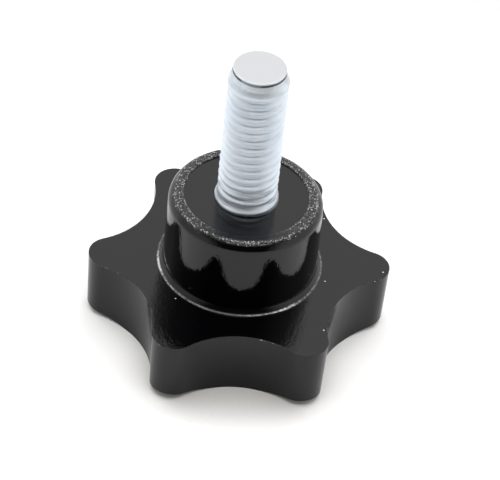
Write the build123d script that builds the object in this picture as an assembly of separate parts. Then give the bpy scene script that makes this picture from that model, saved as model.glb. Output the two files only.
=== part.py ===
from build123d import *
import math
import os

# Star knob with a moulded-in male stud. The origin is the middle of the crown, the face that the palm
# presses on and that the knob stands on here. +Z runs up the stud and one lobe points along +X.
# Sizes are in mm and angles in degrees.

# Gripping plate: six lobes with scallops between them
lobe_count = 6
knob_dia = 40.0             # across two opposite lobe tips
lobe_tip_r = 2.9            # convex arc of a lobe's tip
scallop_r = 10.9            # concave arc between two lobes
plate_h = 9.4
plate_draft = 1.5           # the plate is widest at its boss side
crown_flat_dia = 30.4       # flat middle of the crown, which slopes away under the lobes
crown_rise = 1.1            # height of that slope at the lobe tips

# Boss
knob_h = 20.95              # crown to rim
rim_dia = 20.25             # over the wall at the rim, before the rim's edge is rounded
boss_draft = 0.7            # the boss is widest at the plate
boss_foot_edge = 0.6        # bevel where the wall meets the plate
rim_edge_r = 1.4
recess_dia = 16.4           # sunk face inside the rim
recess_depth = 0.2

# Stud: an M8 x 1.25 bolt
thread_dia = 8.0
thread_pitch = 1.25
thread_depth = 0.61
stud_reach = 21.25          # rim to the stud's end
end_flat_dia = 6.8
end_plain_h = 2.0           # the stud's end to the last turn of the thread
collar_dia = 8.5            # smooth shank, seen as a collar where it leaves the moulding
collar_h = 0.5
collar_flare_h = 0.9
bolt_length = 30.0          # under the head to the end
head_af = 13.0              # across flats
head_h = 5.3

# Sizes that follow from the ones above
plate_r = knob_dia / 2
boss_h = knob_h - plate_h
boss_foot_dia = rim_dia + 2 * boss_h * math.tan(math.radians(boss_draft))
recess_z = knob_h - recess_depth
stud_end_z = knob_h + stud_reach
end_chamfer = (thread_dia - end_flat_dia) / 2
head_top_z = stud_end_z - bolt_length
head_corner_dia = head_af / math.cos(math.radians(30))
flare_z = recess_z + collar_h
flare_top_z = flare_z + collar_flare_h
thread_top_z = stud_end_z - end_plain_h
thread_turns = math.floor((thread_top_z - flare_top_z) / thread_pitch)
thread_low_z = thread_top_z - thread_turns * thread_pitch

on_floor = (Align.CENTER, Align.CENTER, Align.MIN)


def star_face():
    """Plate outline: lobe arcs and scallop arcs that meet on shared tangents."""
    step = 360 / lobe_count
    half = math.radians(step / 2)
    lobe_c = plate_r - lobe_tip_r
    span = lobe_tip_r + scallop_r
    scallop_c = lobe_c * math.cos(half) + math.sqrt(span**2 - (lobe_c * math.sin(half)) ** 2)
    mid_way = Vector(math.cos(half), math.sin(half))
    lobe_centre = Vector(lobe_c, 0)
    join = lobe_centre + (mid_way * scallop_c - lobe_centre) * (lobe_tip_r / span)
    mirror_join = Vector(join.X, -join.Y)
    dip = mid_way * (scallop_c - scallop_r)
    lobe_arc = ThreePointArc(mirror_join, Vector(plate_r, 0), join)
    scallop_arc = ThreePointArc(join, dip, mirror_join.rotate(Axis.Z, step))
    turns = [Rot(0, 0, k * step) for k in range(lobe_count)]
    return make_face([turn * arc for turn in turns for arc in (lobe_arc, scallop_arc)])


def turned(outline):
    """Solid turned about Z from (radius, height) points that start and end on the axis."""
    return revolve(make_face(Polyline([(r, 0, z) for r, z in outline], close=True)), Axis.Z)


def plate():
    """Lobed plate: drafted sides, and a crown that is flat in the middle and slopes up under the lobes."""
    outline = Pos(0, 0, plate_h) * star_face()
    prism = extrude(outline, plate_h, dir=(0, 0, -1), taper=plate_draft)
    crown = [(0, 0), (crown_flat_dia / 2, 0), (plate_r, crown_rise), (plate_r, plate_h), (0, plate_h)]
    return prism & turned(crown)


def boss():
    """Round boss with a drafted wall and a rounded rim, standing on the plate."""
    body = Pos(0, 0, plate_h) * Cone(boss_foot_dia / 2, rim_dia / 2, boss_h, align=on_floor)
    return fillet(body.edges().group_by(Axis.Z)[-1], rim_edge_r)


def helix_turn(low_z, low_r, high_r):
    """One right-hand turn that starts over +X and climbs one pitch, from one radius to another."""
    slope = math.atan((high_r - low_r) / thread_pitch)
    pitch_on_cone = thread_pitch / math.cos(slope)
    centre = (0, 0, low_z)
    return Helix(pitch_on_cone, thread_pitch, low_r, centre, cone_angle=math.degrees(slope)).edge()


def thread():
    """Threaded length: a V groove that runs in and out over a turn, under flanks ruled between helices."""
    crest_r = thread_dia / 2
    root_r = crest_r - thread_depth
    grooves = thread_turns - 1
    depths = [crest_r] + [root_r] * (grooves - 1) + [crest_r]
    low_ring = Edge.make_circle(crest_r, Plane((0, 0, thread_low_z)))
    high_ring = Edge.make_circle(crest_r, Plane((0, 0, thread_top_z)))
    lines = [low_ring, helix_turn(thread_low_z, crest_r, crest_r)]
    for k in range(grooves):
        crest_z = thread_low_z + (k + 1) * thread_pitch
        lines.append(helix_turn(crest_z - thread_pitch / 2, depths[k], depths[k + 1]))
        lines.append(helix_turn(crest_z, crest_r, crest_r))
    lines.append(high_ring)
    strips = [Face.make_surface_from_curves(low, high) for low, high in zip(lines, lines[1:])]
    ends = [Face(Wire([ring])) for ring in (low_ring, high_ring)]
    return Solid(Shell(strips + ends))


def threaded_stud():
    """Bolt: hexagon head, smooth shank and flare in the knob, then the thread and the bevelled end."""
    crest_r = thread_dia / 2
    head = Pos(0, 0, head_top_z - head_h) * extrude(RegularPolygon(head_corner_dia / 2, 6), head_h)
    shank = turned(
        [
            (0, head_top_z),
            (collar_dia / 2, head_top_z),
            (collar_dia / 2, flare_z),
            (crest_r, flare_top_z),
            (crest_r, thread_low_z),
            (0, thread_low_z),
        ]
    )
    end = turned(
        [
            (0, thread_top_z),
            (crest_r, thread_top_z),
            (crest_r, stud_end_z - end_chamfer),
            (end_flat_dia / 2, stud_end_z),
            (0, stud_end_z),
        ]
    )
    return head + shank + thread() + end


def star_knob(bolt):
    """The moulding: plate and boss in one, the sunk face, and the room that the bolt fills."""
    body = plate() + boss()
    seam = [
        e
        for e in body.edges().filter_by(GeomType.CIRCLE)
        if abs(e.center().Z - plate_h) < 0.01 and abs(e.radius - boss_foot_dia / 2) < 0.01
    ]
    body = chamfer(seam, boss_foot_edge)
    sunk_face = Pos(0, 0, recess_z) * Cylinder(recess_dia / 2, recess_depth, align=on_floor)
    return body - sunk_face - bolt


stud = threaded_stud()
knob = star_knob(stud)

os.makedirs("parts", exist_ok=True)
export_step(knob, "parts/star_knob.step")
export_step(stud, "parts/threaded_stud.step")
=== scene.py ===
import math
import random
from functools import reduce

import bmesh
import bpy
from mathutils import Matrix, Vector


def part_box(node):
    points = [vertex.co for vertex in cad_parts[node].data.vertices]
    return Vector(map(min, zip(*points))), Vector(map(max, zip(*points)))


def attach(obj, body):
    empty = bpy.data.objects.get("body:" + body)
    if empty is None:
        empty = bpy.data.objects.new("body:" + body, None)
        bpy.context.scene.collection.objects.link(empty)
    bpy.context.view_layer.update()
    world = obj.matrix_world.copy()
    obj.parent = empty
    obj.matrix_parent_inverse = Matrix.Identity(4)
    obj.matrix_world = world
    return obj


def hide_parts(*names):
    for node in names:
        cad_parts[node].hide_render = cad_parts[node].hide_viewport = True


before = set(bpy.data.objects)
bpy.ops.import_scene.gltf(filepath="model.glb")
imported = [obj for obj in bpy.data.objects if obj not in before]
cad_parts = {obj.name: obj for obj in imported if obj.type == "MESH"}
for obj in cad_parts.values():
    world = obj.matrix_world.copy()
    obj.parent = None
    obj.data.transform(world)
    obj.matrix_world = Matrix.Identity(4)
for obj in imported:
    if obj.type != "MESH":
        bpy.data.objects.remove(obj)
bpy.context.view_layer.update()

# The origin is the middle of the crown, which stands on the floor. +Z runs up the stud, and the front is
# toward -Y. Sizes are in metres.
MM = 0.001
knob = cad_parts["star_knob"]

# Moulding
rim_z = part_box("star_knob")[1].z
plate_z = 9.4 * MM
wall_r = 10.2 * MM          # halfway up the boss's drafted wall
boss_foot_r = 10.84 * MM    # outer edge of the bevel where the boss meets the plate
recess_r = 8.2 * MM
recess_depth = 0.2 * MM
rim_r = 10.125 * MM
rim_edge_r = 1.4 * MM

# Trimming tore the rim out to trimmed_r. In front, its part inside calm_r stayed calm: wholly where y
# is below calm_y, and less and less up to torn_y.
trimmed_r = 9.55 * MM
calm_r = 8.95 * MM
calm_y = -8.2 * MM
torn_y = -5.0 * MM

# Stud and its M8 x 1.25 thread
stud_end_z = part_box("threaded_stud")[1].z
thread_top_z = stud_end_z - 2.0 * MM
pitch = 1.25 * MM
crest_r = 3.95 * MM
root_r = 3.54 * MM
collar_z = rim_z - recess_depth
collar_r = 4.25 * MM
drawn_ring_gap = 0.72 * MM
drawn_ring_depth = 0.05 * MM
land_r = 3.45 * MM          # plain length above the thread, just under the rounded end
land_slope = 0.12
neck_depth = 0.10 * MM
end_flat_r = 3.25 * MM
end_round_r = 0.2 * MM

# Colours
gloss_black = (0.0012, 0.0012, 0.0016, 1.0)
torn_black = (0.005, 0.005, 0.005, 1.0)
# pale for scuffs and dust, and also for the painted glint on the rim and the painted highlight along the
# boss's foot
pale_scuff_and_highlight = (0.72, 0.72, 0.71, 1.0)
blue_zinc = (0.81, 0.885, 0.97, 1.0)
white_zinc = (0.88, 0.935, 0.99, 1.0)
drawn_grey = (0.34, 0.38, 0.41, 1.0)
worn_grey = (0.50, 0.54, 0.55, 1.0)
burr_shadow = (0.05, 0.055, 0.055, 1.0)
cut_steel = (0.56, 0.565, 0.58, 1.0)
# floor colours; the shaded ones are painted shadow close to the knob
open_sheet = (0.98, 0.975, 0.97, 1.0)
shaded_sheet = (0.56, 0.54, 0.51, 1.0)
open_mirrored_sheet = (0.74, 0.74, 0.735, 1.0)
shaded_mirrored_sheet = (0.46, 0.45, 0.44, 1.0)
white = (1.0, 1.0, 1.0, 1.0)


# ---------------------------------------------------------------- helpers
def smooth_step(a, b, x):
    """0 at a and 1 at b, with a smooth passage between them. b may lie on either side of a."""
    t = min(1.0, max(0.0, (x - a) / (b - a)))
    return t * t * (3 - 2 * t)


def wave(turns):
    """Smooth wave that is 1 at every whole turn and 0 halfway between."""
    return 0.5 + 0.5 * math.cos(2 * math.pi * turns)


def ring_angles(count):
    """Angles of points spread evenly round a ring."""
    return [2 * math.pi * i / count for i in range(count)]


def ring_point(r, a, z):
    """Point at radius r, angle a and height z."""
    return (r * math.cos(a), r * math.sin(a), z)


def toward(azimuth, elevation):
    """Unit vector at an azimuth that turns from +X to +Y and an elevation, both in degrees."""
    a, e = math.radians(azimuth), math.radians(elevation)
    return Vector((math.cos(a) * math.cos(e), math.sin(a) * math.cos(e), math.sin(e)))


def new_object(name, verts, faces, smooth=True):
    """Object from points and faces. Points that fall together are welded, and end caps stay flat."""
    weld = 0.002 * MM
    mesh = bpy.data.meshes.new(name)
    mesh.from_pydata(verts, [], faces)
    bm = bmesh.new()
    bm.from_mesh(mesh)
    bmesh.ops.remove_doubles(bm, verts=bm.verts, dist=weld)
    bmesh.ops.dissolve_degenerate(bm, edges=bm.edges, dist=weld)
    for face in bm.faces:
        face.smooth = smooth and len(face.verts) < 5
    bm.to_mesh(mesh)
    bm.free()
    obj = bpy.data.objects.new(name, mesh)
    bpy.context.scene.collection.objects.link(obj)
    return obj


class Nodes:
    """Short names for building a node tree. Every value is a number, a tuple or another node's output."""

    def __init__(self, tree):
        self.tree = tree
        tree.nodes.clear()

    def add(self, kind, inputs=None, **settings):
        node = self.tree.nodes.new(kind)
        for key, value in settings.items():
            setattr(node, key, value)
        for key, value in (inputs or {}).items():
            self.put(node.inputs[key], value)
        return node

    def put(self, socket, value):
        if isinstance(value, bpy.types.NodeSocket):
            self.tree.links.new(value, socket)
        else:
            socket.default_value = value

    def place(self, kind="Object"):
        """Point that is shaded, in the object's own coordinates unless another kind is named."""
        return self.add("ShaderNodeTexCoord").outputs[kind]

    def parts(self, vector):
        """The three parts of a vector or a colour."""
        return self.add("ShaderNodeSeparateXYZ", {0: vector}).outputs

    def math(self, operation, a, b=0.0):
        return self.add("ShaderNodeMath", {0: a, 1: b}, operation=operation).outputs[0]

    def times(self, *values):
        return reduce(lambda a, b: self.math("MULTIPLY", a, b), values)

    def highest(self, *values):
        return reduce(lambda a, b: self.math("MAXIMUM", a, b), values)

    def ramp(self, value, low, high, to_low=0.0, to_high=1.0):
        """value mapped from low..high to to_low..to_high with soft ends."""
        node = self.add(
            "ShaderNodeMapRange",
            {"Value": value, "From Min": low, "From Max": high, "To Min": to_low, "To Max": to_high},
            interpolation_type="SMOOTHSTEP",
        )
        return node.outputs["Result"]

    def apart(self, value, centre):
        """Distance of value from centre, on either side."""
        return self.math("ABSOLUTE", self.math("SUBTRACT", value, centre))

    def within(self, value, centre, reach):
        """1 where value lies closer than reach to centre."""
        return self.math("LESS_THAN", self.apart(value, centre), reach)

    def band(self, value, centre, full, none, level=1.0):
        """level where value lies closer than full to centre, down to 0 where it lies none away."""
        return self.ramp(self.apart(value, centre), full, none, level, 0.0)

    def mix(self, factor, a, b):
        """Number between a and b."""
        node = self.add("ShaderNodeMix", {"Factor": factor, "A": a, "B": b}, data_type="FLOAT")
        return node.outputs["Result"]

    def mix_colour(self, factor, a, b):
        """Colour between a and b. The sockets for colours come after those for numbers and vectors."""
        node = self.add("ShaderNodeMix", {0: factor, 6: a, 7: b}, data_type="RGBA")
        return node.outputs[2]

    def noise(self, vector, scale, detail=3.0, roughness=0.5):
        node = self.add(
            "ShaderNodeTexNoise",
            {"Vector": vector, "Scale": scale, "Detail": detail, "Roughness": roughness},
        )
        return node.outputs["Fac"]

    def stretched_noise(self, vector, scale, turn=0.0, detail=3.0, roughness=0.5):
        """Noise with its own scale along x, y and z, turned about z by an angle in radians."""
        inputs = {"Vector": vector, "Scale": scale, "Rotation": (0.0, 0.0, turn)}
        stretched = self.add("ShaderNodeMapping", inputs).outputs["Vector"]
        return self.noise(stretched, 1.0, detail, roughness)

    def specks(self, vector, scale, dropped, full, none, dimensions="3D"):
        """Round specks, one in each cell of a pattern apart from the share of cells that is dropped."""
        inputs = {"Vector": vector, "Scale": scale}
        cells = self.add("ShaderNodeTexVoronoi", inputs, voronoi_dimensions=dimensions).outputs
        chosen = self.math("GREATER_THAN", self.parts(cells["Color"])[0], dropped)
        return self.times(self.ramp(cells["Distance"], full, none, 1.0, 0.0), chosen)

    def bump(self, height, distance, normal=None):
        """Normal of a relief that stands out by distance where height is 1, over another normal."""
        inputs = {"Height": height, "Strength": 1.0, "Distance": distance}
        if normal is not None:
            inputs["Normal"] = normal
        return self.add("ShaderNodeBump", inputs).outputs["Normal"]


class Spot:
    """Point that is shaded: its place, its x, y and z, and its distance from the axis."""

    def __init__(self, n):
        self.place = n.place()
        self.x, self.y, self.z = n.parts(self.place)
        squares = n.math("ADD", n.math("POWER", self.x, 2.0), n.math("POWER", self.y, 2.0))
        self.radius = n.math("SQRT", squares)


def new_material(name):
    mat = bpy.data.materials.new(name)
    mat.use_nodes = True
    return mat, Nodes(mat.node_tree)


def finish_material(n, **inputs):
    shader = n.add("ShaderNodeBsdfPrincipled")
    for key, value in inputs.items():
        n.put(shader.inputs[key.replace("_", " ")], value)
    n.add("ShaderNodeOutputMaterial", {"Surface": shader.outputs[0]})


# ---------------------------------------------------------------- phenolic
def torn_rim(n, spot):
    """Where the rim is torn: from the sunk face's edge to a ragged line on the rounded outer edge."""
    high = n.ramp(spot.z, rim_z - 0.9 * MM, rim_z - 0.7 * MM)
    inner = n.ramp(spot.radius, recess_r - 0.06 * MM, recess_r + 0.02 * MM)
    wander = n.ramp(n.noise(spot.place, 900.0), 0.3, 0.7, -0.15 * MM, 0.15 * MM)
    ragged = n.math("ADD", spot.radius, wander)
    outer = n.ramp(ragged, trimmed_r - 0.08 * MM, trimmed_r + 0.08 * MM, 1.0, 0.0)
    behind = n.ramp(spot.y, calm_y, torn_y)
    outside = n.ramp(spot.radius, calm_r, calm_r + 0.20 * MM)
    return n.times(high, inner, outer, n.highest(behind, outside))


def rim_grains_and_painted_glints(n, spot, grit, coarse):
    """Pale torn specks of the rim, partly real and partly painted glint, with painted glint lines along two
    edge circles; the round specks thin out toward the back.
    """
    # painted glint lines where the rim's two edges catch the light
    rings = [n.band(spot.radius, r, 0.08 * MM, 0.20 * MM, 0.06) for r in (8.3 * MM, 9.3 * MM)]
    grains_and_glints = n.ramp(n.math("ADD", grit, n.highest(*rings)), 0.60, 0.67)
    grains_and_glints = n.times(grains_and_glints, n.ramp(coarse, 0.40, 0.56))
    dropped = n.ramp(spot.y, 1.0 * MM, 7.0 * MM, 0.70, 0.80)
    chips_and_glints = n.specks(spot.place, 4600.0, dropped, 0.25, 0.42)
    chips_and_glints = n.times(chips_and_glints, n.ramp(coarse, 0.35, 0.60, 0.45, 1.0))
    return n.highest(grains_and_glints, chips_and_glints)


def plate_flash(n, spot):
    """Scuffed flash under the plate's upper edge, in torn patches."""
    edge = n.band(spot.z, plate_z - 0.06 * MM, 0.03 * MM, 0.12 * MM)
    outward = n.ramp(spot.radius, 14.0 * MM, 14.4 * MM)
    torn = n.ramp(n.noise(spot.place, 3600.0), 0.55, 0.68)
    patches = n.ramp(n.noise(spot.place, 190.0), 0.52, 0.60)
    return n.times(edge, outward, torn, patches)


def painted_foot_highlight(n, spot, coarse):
    """Painted highlight along the boss's foot, patchy, wider and paler at its sides."""
    away = n.ramp(n.math("ABSOLUTE", spot.x), 3.0 * MM, 8.0 * MM)
    foot_line = n.band(spot.radius, boss_foot_r, 0.03 * MM, n.mix(away, 0.11 * MM, 0.19 * MM))
    on_top = n.math("GREATER_THAN", spot.z, plate_z - 0.01 * MM)
    patches = n.ramp(n.noise(spot.place, 120.0, 1.0), 0.42, 0.62, 0.08, 0.60)
    fine = n.ramp(coarse, 0.42, 0.58, 0.30, 1.0)
    return n.times(foot_line, on_top, patches, n.mix(away, 0.8, 3.0), fine)


def moulded_relief(n, spot, top):
    """Rounded edges, moulding texture and fine hairline marks, on a plate a little out of square."""
    near_plate = n.band(spot.z, plate_z, 0.8 * MM, 1.2 * MM)
    foot = n.times(near_plate, n.ramp(spot.radius, 11.6 * MM, 12.0 * MM, 1.0, 0.0))
    edges = n.add("ShaderNodeBevel", {"Radius": n.mix(foot, 0.10 * MM, 0.45 * MM)}, samples=8)
    wall = n.within(spot.radius, wall_r, 0.5 * MM)
    streaks = n.stretched_noise(spot.place, (2400.0, 2400.0, 700.0), roughness=0.6)
    peel = n.times(streaks, n.mix(n.highest(wall, top), 1.0, 2.2))
    hair_x = n.stretched_noise(spot.place, (7000.0, 900.0, 1500.0), turn=0.5)
    hair_y = n.stretched_noise(spot.place, (900.0, 7000.0, 1500.0), turn=-0.2)
    tilt = n.times(spot.x, top, -0.05)
    relief = n.bump(peel, 0.012 * MM, edges.outputs[0])
    relief = n.bump(n.math("ADD", hair_x, hair_y), 0.0018 * MM, relief)
    return n.bump(tilt, 1.0, relief)


def phenolic():
    """Gloss black moulding: satin sides, duller sunk face, torn rim with painted glint, scuffed flash,
    painted highlight along the boss's foot, fine marks, dust.
    """
    mat, n = new_material("phenolic")
    spot = Spot(n)
    side = n.math("LESS_THAN", spot.z, plate_z - 0.01 * MM)
    top = n.within(spot.z, plate_z, 0.02 * MM)
    high = n.math("GREATER_THAN", spot.z, rim_z - 0.3 * MM)
    sunk = n.times(high, n.math("LESS_THAN", spot.radius, recess_r))
    rim = torn_rim(n, spot)
    grit = n.noise(spot.place, 7200.0, 3.0, 0.65)
    coarse = n.noise(spot.place, 2100.0, 2.0)

    # pale torn specks on the rim, partly painted glint
    torn_specks_and_glints = n.times(rim_grains_and_painted_glints(n, spot, grit, coarse), rim)
    flash = n.times(plate_flash(n, spot), side)
    dust = n.times(n.specks(spot.place, 260.0, 0.80, 0.018, 0.032, "2D"), n.highest(top, sunk))
    # pale marks: real dust and scuffed flash, with painted glint on the rim and a painted highlight along
    # the boss's foot
    pale_marks_and_highlights = n.highest(torn_specks_and_glints, flash, dust, painted_foot_highlight(n, spot, coarse))
    colour = n.mix_colour(pale_marks_and_highlights, n.mix_colour(rim, gloss_black, torn_black), pale_scuff_and_highlight)

    haze = n.noise(spot.place, 320.0, 4.0, 0.6)
    gloss = n.mix(side, n.ramp(haze, 0.3, 0.7, 0.03, 0.08), n.ramp(haze, 0.3, 0.7, 0.07, 0.12))
    rough = n.mix(sunk, n.mix(n.highest(rim, pale_marks_and_highlights), gloss, 0.20), 0.15)

    normal = n.bump(n.times(grit, rim), 0.05 * MM, moulded_relief(n, spot, top))
    finish_material(n, Base_Color=colour, Roughness=rough, IOR=1.47, Normal=normal)
    return mat


# ---------------------------------------------------------------- zinc plate
def zinc_plate():
    """Blue-white zinc with drawn lines, worn near the end, a painted shadow line under the burr and a
    greyer cut end.
    """
    mat, n = new_material("zinc_plate")
    place = n.place()
    z = n.parts(place)[2]
    cloud = n.noise(place, 300.0, 4.0, 0.6)
    colour = n.mix_colour(n.ramp(cloud, 0.35, 0.65), blue_zinc, white_zinc)

    # fine lines round the stud, strong low on it and faint above
    lines = n.stretched_noise(place, (220.0, 220.0, 3400.0), detail=2.0, roughness=0.6)
    fading = n.ramp(z, rim_z + 2.5 * MM, rim_z + 6.0 * MM, 0.75, 0.20)
    colour = n.mix_colour(n.times(n.ramp(lines, 0.50, 0.66), fading), colour, drawn_grey)

    # zinc worn off in clouds over the last two millimetres
    last = n.ramp(z, stud_end_z - 2.3 * MM, stud_end_z - 1.9 * MM)
    colour = n.mix_colour(n.times(last, n.ramp(cloud, 0.35, 0.65, 0.15, 0.75)), colour, worn_grey)

    # shadow in the neck under the burr
    burr = n.band(z, stud_end_z - 0.38 * MM, 0.10 * MM, 0.20 * MM, 0.95)
    uneven = n.ramp(n.noise(place, 500.0, 2.0), 0.35, 0.5, 0.6, 1.0)
    colour = n.mix_colour(n.times(burr, uneven), colour, burr_shadow)

    cut_end = n.math("GREATER_THAN", z, stud_end_z - 0.02 * MM)
    colour = n.mix_colour(cut_end, colour, cut_steel)
    rough = n.mix(cut_end, n.ramp(cloud, 0.3, 0.7, 0.42, 0.52), 0.5)
    grain = n.bump(n.noise(place, 4200.0, 2.0, 0.6), 0.003 * MM)
    finish_material(n, Base_Color=colour, Metallic=0.6, Roughness=rough, Normal=grain)
    return mat


# ---------------------------------------------------------------- threaded stud
def thread_profile():
    """One pitch of the thread as (share of the pitch, depth) pairs, from crest to root to crest."""
    steps = 14
    return [(k / steps, (crest_r - root_r) * (1 - wave(k / steps))) for k in range(steps)]


def shank_radius(above_collar, from_end, depth):
    """Radius of the shank: a thread that fades at both ends, a flared foot, and rings drawn round it."""
    end_fade = smooth_step(1.6 * MM, 3.4 * MM, from_end)
    foot_fade = 0.4 + 0.6 * smooth_step(0.8 * MM, 3.0 * MM, above_collar)
    flare = (collar_r - crest_r) * smooth_step(1.4 * MM, 0.2 * MM, above_collar)
    drawn = drawn_ring_depth * smooth_step(4.0 * MM, 2.0 * MM, above_collar)
    return crest_r - depth * end_fade * foot_fade + flare - drawn * wave(above_collar / drawn_ring_gap)


def land_radius(from_end):
    """Radius that the end allows: a rounded edge, a small neck, and a land that widens to the thread."""
    if from_end < end_round_r:
        drop = 1 - from_end / end_round_r
        return end_flat_r + end_round_r * math.sqrt(1 - drop * drop)
    neck = smooth_step(0.20 * MM, 0.28 * MM, from_end) * smooth_step(0.60 * MM, 0.36 * MM, from_end)
    widening = (crest_r - land_r) * smooth_step(1.3 * MM, 2.4 * MM, from_end)
    return land_r + land_slope * (from_end - end_round_r) + widening - neck_depth * neck


def stud_radius(z, depth):
    """Radius at height z, where the thread would be cut this deep if it didn't fade."""
    from_end = stud_end_z - z
    return min(shank_radius(z - collar_z, from_end, depth), land_radius(from_end))


def threaded_stud():
    """The stud in view: a right-hand thread that runs out into a flared foot and a rounded end."""
    around = 96
    angles = ring_angles(around)
    profile = thread_profile()
    per_turn = len(profile)
    foot_z = collar_z - 0.3 * MM
    turns_down = math.ceil((thread_top_z - collar_z) / pitch) + 2
    turns_up = math.ceil((stud_end_z - thread_top_z) / pitch) + 1
    rows = [(turn + share, depth) for turn in range(-turns_down, turns_up) for share, depth in profile]
    verts, faces = [], []
    for height, depth in rows:
        for i, a in enumerate(angles):
            z = thread_top_z + pitch * (height + i / around)
            z = min(stud_end_z, max(foot_z, z))
            verts.append(ring_point(stud_radius(z, depth), a, z))
    # a row that has gone round once goes on as the row one pitch above it
    for row in range(len(rows) - per_turn):
        for i in range(around):
            a, b = row * around + i, (row + 1) * around + i
            if i < around - 1:
                faces.append((a, a + 1, b + 1, b))
            elif row + per_turn + 1 < len(rows):
                first = (row + per_turn) * around
                faces.append((a, first, first + around, b))
    for z in (foot_z, stud_end_z):
        faces.append(tuple(range(len(verts), len(verts) + around)))
        verts += [ring_point(stud_radius(z, 0.0), a, z) for a in angles]
    return new_object("zinc_stud", verts, faces)


# ---------------------------------------------------------------- trimmed rim
def grain_share(r, a):
    """Share of its height that a grain keeps: a tenth on the calm part of the rim, and all elsewhere."""
    behind = smooth_step(calm_y, torn_y, r * math.sin(a))
    outside = smooth_step(calm_r - 0.10 * MM, calm_r + 0.15 * MM, r)
    return 0.1 + 0.9 * max(behind, outside)


def trimmed_rim():
    """Torn grit that trimming left on the rim, faceted, from the sunk face's edge over the rounded edge."""
    rng = random.Random(4)
    around, across = 420, 12
    jitter = 0.35               # of the distance between two points
    step = 0.12 * MM
    start = 0.02 * MM           # beyond the sunk face's edge
    ragged = 0.12 * MM          # how far the outer edge wanders
    grain_h = 0.075 * MM        # of the highest grains
    tuck = 0.02 * MM            # how deep both edges lie in the moulding
    flat_w = rim_r - rim_edge_r - recess_r
    verts, faces = [], []
    for i in range(around):
        for j in range(across):
            inside = 0 < j < across - 1
            along = step * (j + rng.uniform(-jitter, jitter) * (j > 0)) + start
            along += rng.uniform(-ragged, ragged) * (j == across - 1)
            grain = rng.uniform(0.0, grain_h) if inside else 0.0
            a = 2 * math.pi * (i + rng.uniform(-jitter, jitter)) / around
            lift = grain * grain_share(recess_r + along, a) if inside else -tuck
            arm = rim_edge_r + lift
            bend = max(0.0, along - flat_w) / rim_edge_r
            r = recess_r + min(along, flat_w) + arm * math.sin(bend)
            verts.append(ring_point(r, a, rim_z - rim_edge_r + arm * math.cos(bend)))
    for i in range(around):
        for j in range(across - 1):
            a, b = i * across + j, ((i + 1) % around) * across + j
            faces += [(a, a + 1, b + 1), (a, b + 1, b)]
    return new_object("trimmed_rim", verts, faces, smooth=False)


# ---------------------------------------------------------------- floor
def sheet():
    """Matt white with a faint glow, and a warm painted shadow close to the knob, though weaker at its
    sides.
    """
    mat, n = new_material("floor")
    path = n.add("ShaderNodeLightPath").outputs
    glow = n.math("ADD", n.times(path["Is Camera Ray"], 0.06), n.times(path["Is Glossy Ray"], 0.03))
    # painted shadow: the colour darkens where little open sky is near, most in front of and behind the knob
    open_sky = n.add("ShaderNodeAmbientOcclusion", {"Distance": 12 * MM}, samples=8).outputs["AO"]
    from_middle = n.math("ABSOLUTE", n.parts(n.place())[0])
    shading = n.ramp(from_middle, 7 * MM, 15 * MM, 1.0, 0.2)
    clear = n.mix(shading, 1.0, n.ramp(open_sky, 0.40, 0.95))
    mirrored = n.mix_colour(clear, shaded_mirrored_sheet, open_mirrored_sheet)
    direct = n.mix_colour(clear, shaded_sheet, open_sheet)
    colour = n.mix_colour(path["Is Camera Ray"], mirrored, direct)
    matt = n.add("ShaderNodeBsdfDiffuse", {"Color": colour}).outputs[0]
    glowing = n.add("ShaderNodeEmission", {"Strength": glow}).outputs[0]
    lit = n.add("ShaderNodeAddShader", {0: matt, 1: glowing}).outputs[0]
    n.add("ShaderNodeOutputMaterial", {"Surface": lit})
    return mat


def floor():
    """White sheet under the knob, round so that it ends alike on every side."""
    radius, count = 80 * MM, 64
    verts = [ring_point(radius, a, 0.0) for a in ring_angles(count)]
    obj = new_object("floor", verts, [tuple(range(count))], smooth=False)
    obj.data.materials.append(sheet())


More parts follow.
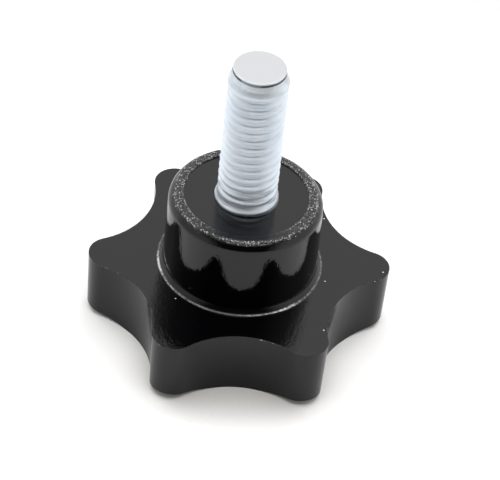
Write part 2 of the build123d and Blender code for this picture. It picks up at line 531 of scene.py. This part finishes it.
# ---------------------------------------------------------------- light and camera
def light_tent():
    """White tent: bright at the back, at the sides and below, and brightest overhead toward the front.

    The front itself is dark. What the camera sees past the floor is plain white.
    """
    world = bpy.data.worlds.new("tent")
    bpy.context.scene.world = world
    world.use_nodes = True
    n = Nodes(world.node_tree)
    x, y, z = n.parts(n.place("Generated"))
    back = n.ramp(y, -0.15, 0.35, 0.03, 1.15)
    right = n.ramp(x, 0.45, 0.85)
    left = n.ramp(x, -0.85, -0.45, 0.75, 0.0)
    low = n.ramp(z, -0.22, -0.12, 0.95, 0.0)
    overhead = n.times(n.ramp(z, 0.80, 0.90), n.ramp(y, -0.30, 0.05, 4.7, 0.8))
    level = n.math("ADD", n.highest(back, right, left, low), overhead)
    seen = n.add("ShaderNodeLightPath").outputs["Is Camera Ray"]
    tent = n.add("ShaderNodeBackground", {"Color": white, "Strength": level}).outputs[0]
    plain = n.add("ShaderNodeBackground", {"Color": white, "Strength": 1.0}).outputs[0]
    mixed = n.add("ShaderNodeMixShader", {0: seen, 1: tent, 2: plain}).outputs[0]
    n.add("ShaderNodeOutputWorld", {"Surface": mixed})


def lamp(name, azimuth):
    """Soft square lamp, high behind the knob on one side, that faces its foot."""
    elevation = 55
    distance = 600 * MM
    out = toward(azimuth, elevation)
    data = bpy.data.lights.new(name, "AREA")
    data.shape = "SQUARE"
    data.size = 90 * MM
    data.energy = 0.25
    turn = out.to_track_quat("Z", "Y").to_matrix().to_4x4()
    obj = bpy.data.objects.new(name, data)
    obj.matrix_world = Matrix.Translation(out * distance) @ turn
    bpy.context.scene.collection.objects.link(obj)


def camera():
    """Long lens that looks down on the knob from in front, rolled so that the stud leans to the right."""
    azimuth, elevation, roll = -94.765, 41.99, math.radians(6.295)
    distance = 400 * MM
    middle = Vector((0.0, 0.0, 25.5 * MM))
    shift_right, shift_down = 0.068 * MM, 9.317 * MM
    back = toward(azimuth, elevation)
    level = toward(azimuth + 90, 0)
    upright = back.cross(level)
    right = level * math.cos(roll) + upright * math.sin(roll)
    up = upright * math.cos(roll) - level * math.sin(roll)
    data = bpy.data.cameras.new("camera")
    data.lens = 223.3
    data.sensor_width = 36.0
    data.clip_start, data.clip_end = 0.01, 20.0
    place = middle + right * shift_right - up * shift_down + back * distance
    turn = Matrix((right, up, back)).transposed().to_4x4()
    obj = bpy.data.objects.new("camera", data)
    obj.matrix_world = Matrix.Translation(place) @ turn
    bpy.context.scene.collection.objects.link(obj)
    bpy.context.scene.camera = obj


# ---------------------------------------------------------------- the scene
stud = threaded_stud()
stud.data.materials.append(zinc_plate())
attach(stud, "root")
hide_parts("threaded_stud")

black = phenolic()
knob.data.materials.clear()
knob.data.materials.append(black)

rim = trimmed_rim()
rim.data.materials.append(black)
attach(rim, "root")

floor()
light_tent()
lamp("lamp_left", 137)
lamp("lamp_right", 46)
camera()
bpy.context.scene.view_settings.view_transform = "Standard"
